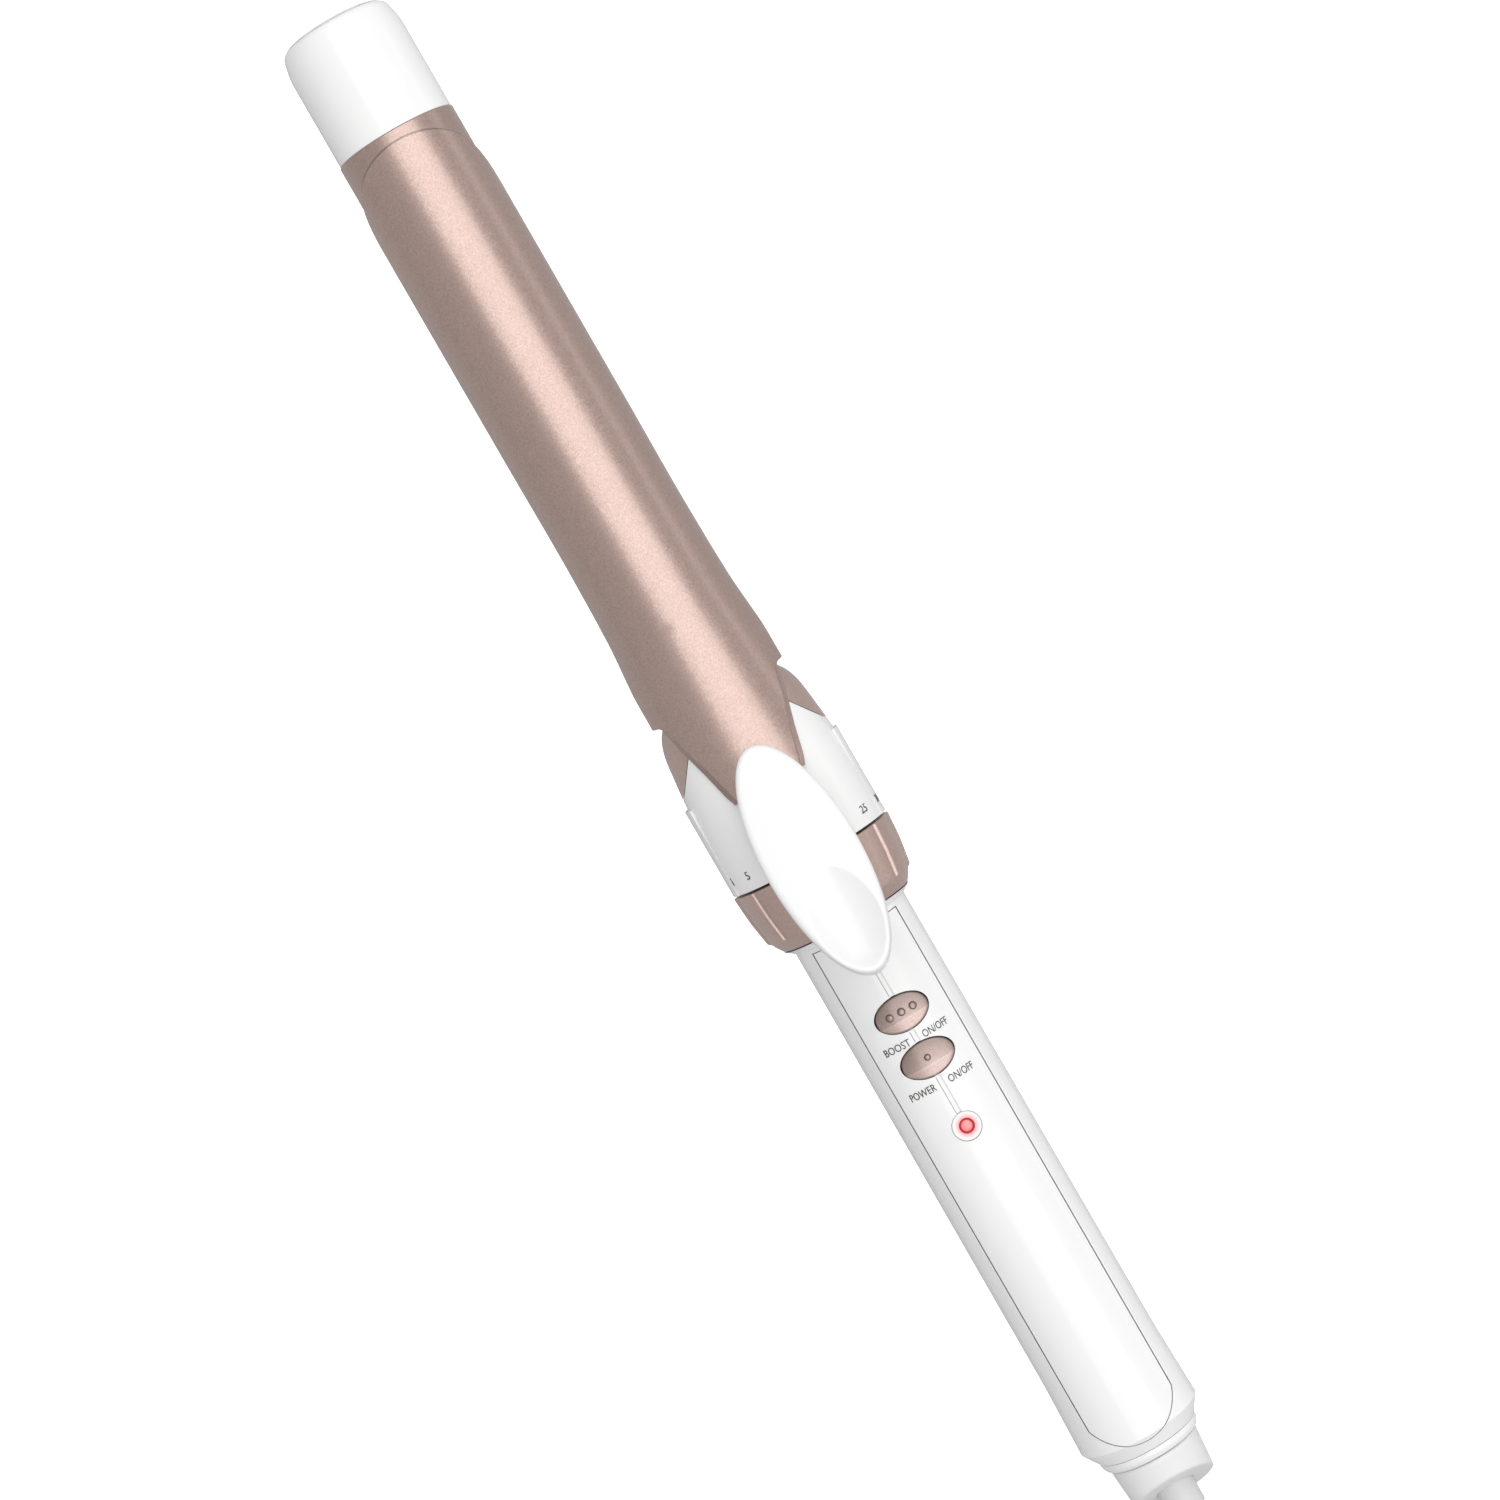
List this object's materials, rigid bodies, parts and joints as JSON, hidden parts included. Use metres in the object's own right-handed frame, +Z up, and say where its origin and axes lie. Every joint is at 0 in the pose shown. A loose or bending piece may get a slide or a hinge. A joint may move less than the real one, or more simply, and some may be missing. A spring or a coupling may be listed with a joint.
{
  "type": "curling wand",
  "caption": "Hand-held hair curling wand: heated round barrel, sprung spoon clamp with thumb lever, turning temperature ring, slim handle, cord swivel and fold-out stand.",
  "frame": {"origin": "on the flat foot under the front housing, below the wand's axis", "axes": "+X along the wand towards the hot tip, +Z up towards the thumb lever and buttons, +Y across"},
  "size_m": [0.3399, 0.0352, 0.0556],
  "materials": {
    "white_plastic": "polished white moulding",
    "rose_coating": "fine-grained rose gold ceramic coat",
    "rose_metal": "rose gold anodised, satin polish",
    "rose_plastic": "rose gold metallised moulding",
    "grey_plastic": "pale grey moulding",
    "dark_plastic": "black heat-resistant moulding",
    "heat_plastic": "natural heat-resistant moulding",
    "steel": "zinc-plated steel",
    "spreader": "plain extruded aluminium",
    "heater_ceramic": "fired ceramic",
    "film": "amber film",
    "lead": "silicone-covered wire",
    "board": "green solder mask",
    "component": "black moulded component",
    "brass": "bright brass",
    "light": "red diffused light",
    "window": "milky translucent",
    "sleeve": "silicone sleeve"
  },
  "bodies": {
    "handle": {"barrel": "rose_coating", "barrel_mount": "heat_plastic", "barrel_screws": "steel", "tip_cap": "white_plastic", "tip_insulator": "heat_plastic", "heat_spreader_upper": "spreader", "heat_spreader_lower": "spreader", "ceramic_heater": "heater_ceramic", "heater_film": "film", "heater_leads": "lead", "thermal_fuse": "component", "temperature_probe": "component", "probe_leads": "lead", "shoulder_ring": "rose_plastic", "front_housing_upper": "white_plastic", "front_housing_lower": "white_plastic", "neck_tube": "dark_plastic", "pivot_pin": "steel", "dial_track": "board", "return_spring": "steel", "handle_upper_shell": "white_plastic", "handle_lower_shell": "white_plastic", "control_panel": "white_plastic", "shell_screws": "steel", "circuit_board": "board", "boost_switch": "component", "power_switch": "component", "indicator_led": "light", "light_window": "window", "power_triac": "component", "film_capacitor": "component", "smoothing_capacitor": "component", "supply_leads": "lead", "end_ring": "grey_plastic", "swivel_seat": "dark_plastic", "contact_springs": "brass"},
    "clamp": {"clamp_spoon": "rose_metal", "clamp_bracket": "steel", "lever_rivets": "steel", "thumb_lever": "white_plastic"},
    "dial": {"temperature_dial": "rose_plastic", "dial_wiper": "brass"},
    "boost_button": {"boost_button": "rose_plastic"},
    "power_button": {"power_button": "rose_plastic"},
    "swivel": {"swivel_body": "grey_plastic", "cord_gland": "grey_plastic", "slip_rings": "brass"},
    "stand": {"stand_wire": "steel", "stand_sleeve": "sleeve"}
  },
  "joints": [
    {"name": "clamp_pivot", "type": "hinge", "parent": "handle", "child": "clamp", "pos_m": [0.002, 0, 0.0382], "axis": [0, -1, 0], "range_deg": [0, 18], "stiffness_Nm_per_rad": 0.6, "springref_deg": -20.05, "deforming": ["return_spring"]},
    {"name": "dial_turn", "type": "hinge", "parent": "handle", "child": "dial", "pos_m": [-0.0177, 0, 0.0186], "axis": [1, 0, 0], "range_deg": [-69, 77]},
    {"name": "boost_press", "type": "slide", "parent": "handle", "child": "boost_button", "axis": [0, 0, -1], "range_m": [0, 0.0005], "stiffness_N_per_m": 300},
    {"name": "power_press", "type": "slide", "parent": "handle", "child": "power_button", "axis": [0, 0, -1], "range_m": [0, 0.0005], "stiffness_N_per_m": 300},
    {"name": "swivel_turn", "type": "hinge", "parent": "handle", "child": "swivel", "pos_m": [-0.1425, 0, 0.0186], "axis": [1, 0, 0], "continuous": true},
    {"name": "stand_fold", "type": "hinge", "parent": "handle", "child": "stand", "pos_m": [0.003, 0, 0.002], "axis": [0, 1, 0], "range_deg": [0, 100]}
  ]
}
